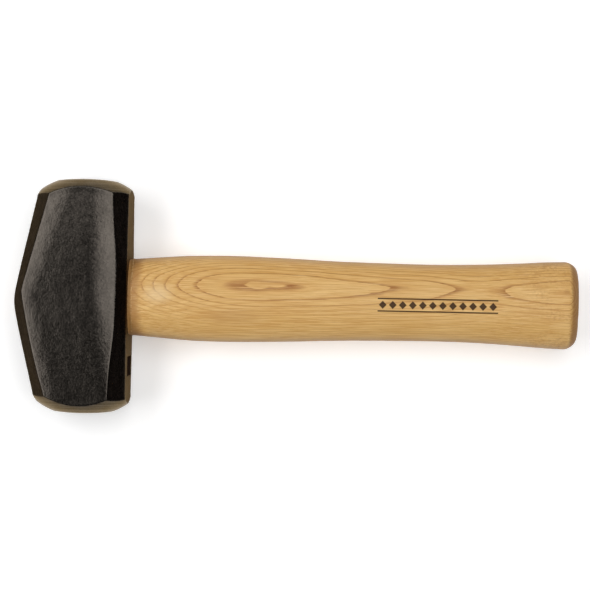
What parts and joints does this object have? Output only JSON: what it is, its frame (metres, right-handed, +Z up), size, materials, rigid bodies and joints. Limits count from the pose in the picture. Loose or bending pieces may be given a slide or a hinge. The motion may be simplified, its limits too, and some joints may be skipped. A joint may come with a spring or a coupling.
{
  "type": "club hammer",
  "caption": "Short-handled club hammer: double-faced forged steel head wedged on a hickory handle, lying on its cheek.",
  "frame": {"origin": "on the cheek that the hammer lies on, under the crossing of the head's axis and the handle's axis", "axes": "+X along the handle from the head to the butt, +Y along the head through both striking faces, +Z up through both cheeks"},
  "size_m": [0.2637, 0.1106, 0.043],
  "materials": {
    "forged_steel": "black forge finish under clear lacquer, satin, slightly uneven; striking faces and bevels ground bright under amber lacquer",
    "hickory": "straight-grained hickory, turned and sanded, thin clear lacquer",
    "wedge_wood": "darker hardwood, sawn, unfinished",
    "wedge_steel": "plain rolled steel, hammered over at the top"
  },
  "bodies": {
    "root": {"head": "forged_steel", "handle": "hickory", "wood_wedge": "wedge_wood", "steel_wedge_left": "wedge_steel", "steel_wedge_right": "wedge_steel"}
  },
  "joints": []
}
